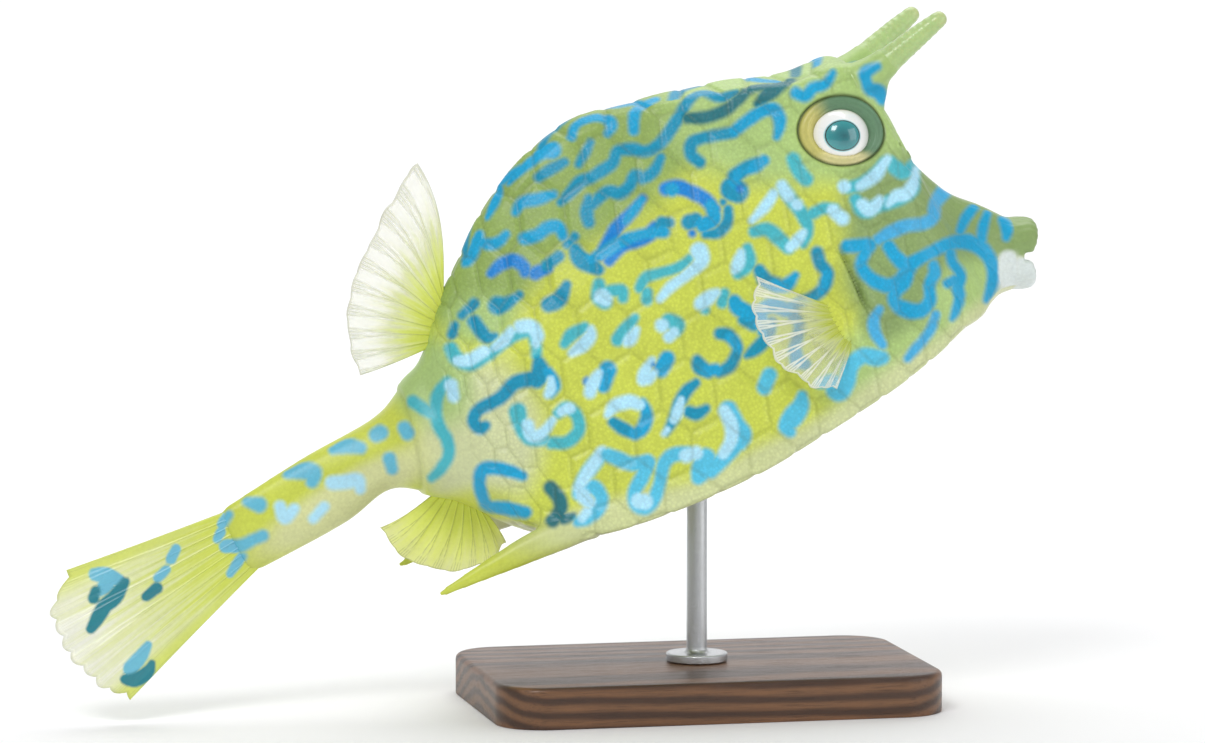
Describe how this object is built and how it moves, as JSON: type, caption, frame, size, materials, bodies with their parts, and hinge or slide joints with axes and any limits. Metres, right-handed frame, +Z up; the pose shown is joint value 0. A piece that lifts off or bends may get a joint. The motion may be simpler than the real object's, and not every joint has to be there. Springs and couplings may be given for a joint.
{
  "type": "still model of a scrawled cowfish on a display stand",
  "caption": "Life-size scrawled cowfish with a plated, three-cornered shell, forward horns and rear keel spines, swimming nose up on a flat wooden base with one short rod.",
  "frame": {"origin": "middle of the underside of the stand's base, on the floor", "axes": "+X towards the fish's nose, along the base's long sides; +Y to the fish's left; +Z up"},
  "size_m": [0.2882, 0.0904, 0.2006],
  "materials": {
    "skin": "moist shell skin in yellow-green with blue lines",
    "horn": "moist green horn",
    "fin": "thin clear membrane over fine rays",
    "lip": "soft pale skin",
    "eye": "wet clear cornea over a white ring and teal pupil",
    "wood": "dark oiled",
    "steel": "brushed"
  },
  "bodies": {
    "root": {"anal_fin": "fin", "carapace": "skin", "dorsal_fin": "fin", "eye_left": "eye", "eye_right": "eye", "head": "skin", "horn_left": "horn", "horn_right": "horn", "keel_spine_left": "horn", "keel_spine_right": "horn", "lower_lip": "lip", "pectoral_fin_left": "fin", "pectoral_fin_right": "fin", "stand_base": "wood", "stand_rod": "steel", "tail_fin": "fin", "tail_stalk": "skin", "upper_lip": "lip"}
  },
  "joints": []
}
